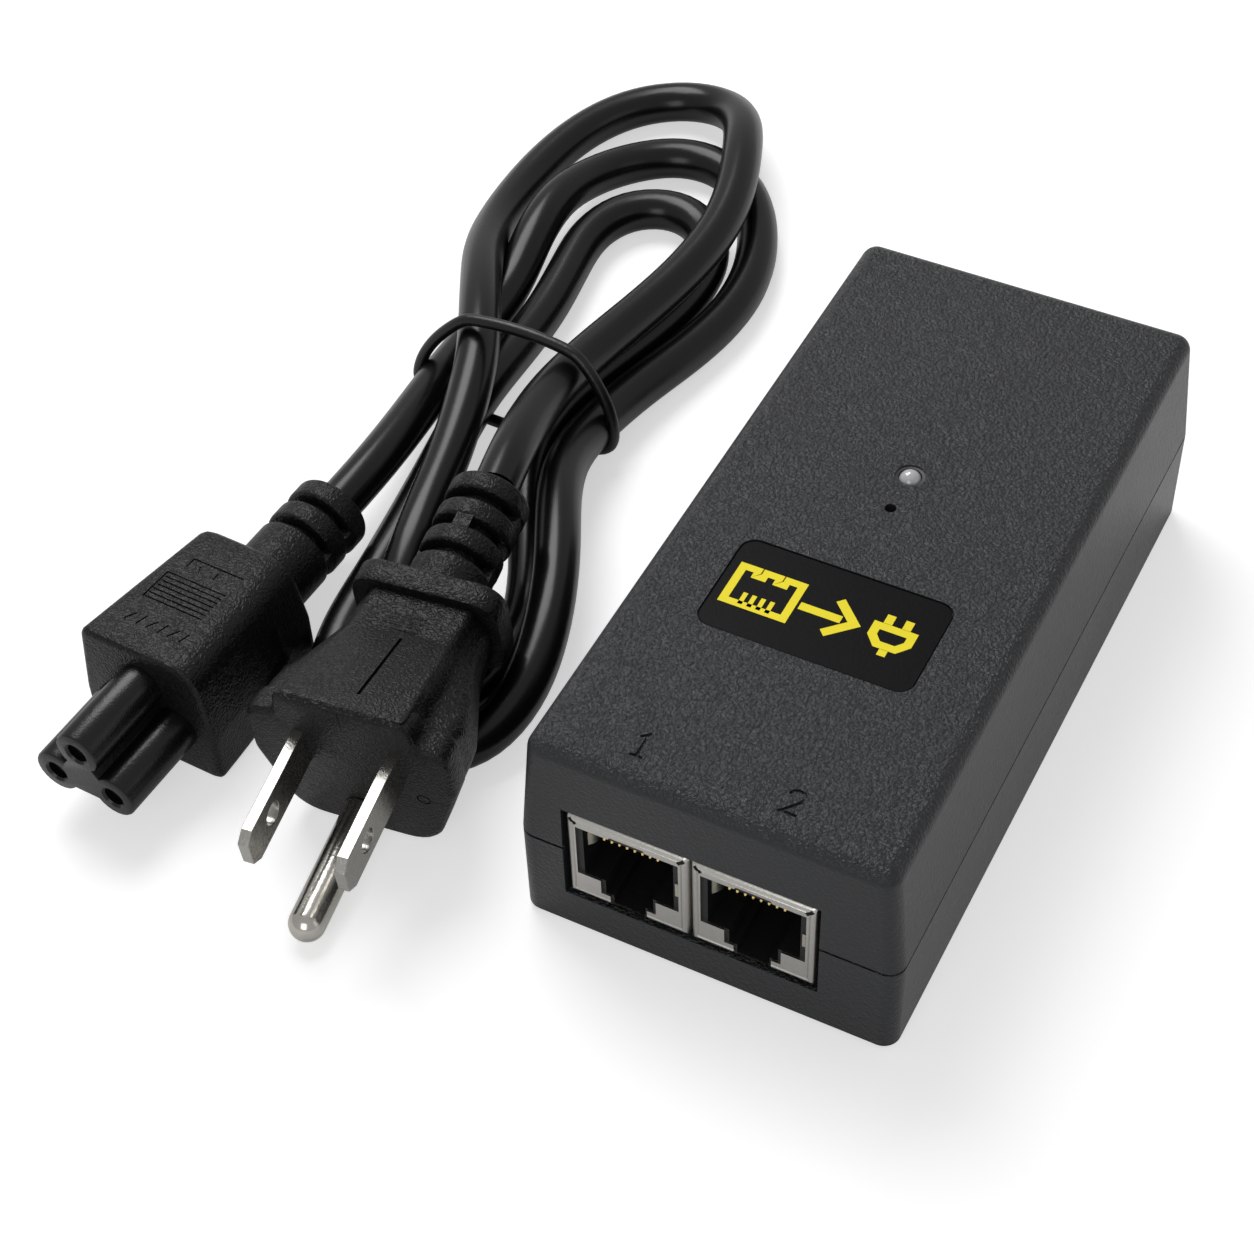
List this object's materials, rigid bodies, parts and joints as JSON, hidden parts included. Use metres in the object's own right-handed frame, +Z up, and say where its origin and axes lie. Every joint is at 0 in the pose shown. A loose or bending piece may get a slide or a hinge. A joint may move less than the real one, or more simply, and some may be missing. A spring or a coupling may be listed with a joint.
{
  "type": "poe injector",
  "caption": "Power-over-Ethernet injector box with shielded network jacks, status light, reset pinhole and mains inlet, beside its tied detachable mains cord.",
  "frame": {"origin": "middle of the case's underside", "axes": "+X along the port face, +Y from the port face to the mains inlet, +Z up from the surface it stands on"},
  "size_m": [0.1206, 0.1763, 0.0332],
  "materials": {
    "case_plastic": "fine moulded grain, satin",
    "screw_steel": "zinc plated",
    "label_film": "satin film with printed signs",
    "led_epoxy": "water clear epoxy, tinted",
    "white_nylon": "moulded",
    "tinned_wire": "tinned",
    "black_nylon": "moulded",
    "brown_nylon": "moulded",
    "board_laminate": "solder mask",
    "fish_paper": "sheet",
    "nickel_shield": "bright stamped sheet",
    "gold_contact": "gold plated",
    "nickel_pin": "bright nickel plate",
    "blue_coating": "dipped epoxy",
    "yellow_box": "moulded box",
    "ferrite_green": "epoxy coated ferrite",
    "copper_wire": "enamelled copper",
    "black_epoxy": "moulded epoxy",
    "dark_sleeve": "shrink sleeve",
    "ferrite_grey": "sintered ferrite",
    "yellow_tape": "polyester tape",
    "aluminium_extrusion": "mill finish",
    "moulded_pvc": "leathery moulded grain",
    "insert_nylon": "moulded insert",
    "cord_jacket": "satin extruded jacket",
    "tie_plastic": "coated wire"
  },
  "bodies": {
    "injector": {"upper_shell": "case_plastic", "lower_shell": "case_plastic", "case_screws": "screw_steel", "label_inlay": "label_film", "status_led": "led_epoxy", "led_spacer": "white_nylon", "led_leads": "tinned_wire", "reset_switch": "black_nylon", "main_board": "board_laminate", "board_screws": "screw_steel", "insulation_sheet": "fish_paper", "poe_jack_shield": "nickel_shield", "poe_jack_housing": "black_nylon", "poe_jack_contacts": "gold_contact", "lan_jack_shield": "nickel_shield", "lan_jack_housing": "black_nylon", "lan_jack_contacts": "gold_contact", "inlet_housing": "black_nylon", "inlet_pins": "nickel_pin", "fuse": "brown_nylon", "varistor": "blue_coating", "filter_capacitor": "yellow_box", "safety_capacitor": "blue_coating", "choke_core": "ferrite_green", "choke_windings": "copper_wire", "bridge_rectifier": "black_epoxy", "bulk_capacitor": "dark_sleeve", "transformer_core": "ferrite_grey", "transformer_bobbin": "black_nylon", "transformer_winding": "yellow_tape", "switching_transistor": "black_epoxy", "primary_heat_sink": "aluminium_extrusion", "output_rectifier": "black_epoxy", "secondary_heat_sink": "aluminium_extrusion", "controller_chip": "black_epoxy", "optocoupler": "white_nylon", "output_capacitors": "dark_sleeve", "output_inductor": "ferrite_grey"},
    "reset_plunger": {"reset_button": "black_nylon", "switch_stem": "brown_nylon"},
    "cord_set": {"c5_body": "moulded_pvc", "c5_nose": "insert_nylon", "c5_sockets": "gold_contact", "c5_strain_relief": "moulded_pvc", "plug_body": "moulded_pvc", "plug_blades": "nickel_pin", "plug_ground_pin": "nickel_pin", "plug_strain_relief": "moulded_pvc", "power_cord": "cord_jacket", "cord_tie": "tie_plastic"}
  },
  "joints": [
    {"name": "reset_press", "type": "slide", "parent": "injector", "child": "reset_plunger", "axis": [0, 0, -1], "range_m": [0, 0.00025], "stiffness_N_per_m": 1000},
    {"name": "cord_set_lift", "type": "slide", "parent": "injector", "child": "cord_set", "axis": [0, 0, 1], "range_m": [0, 0.06]}
  ]
}
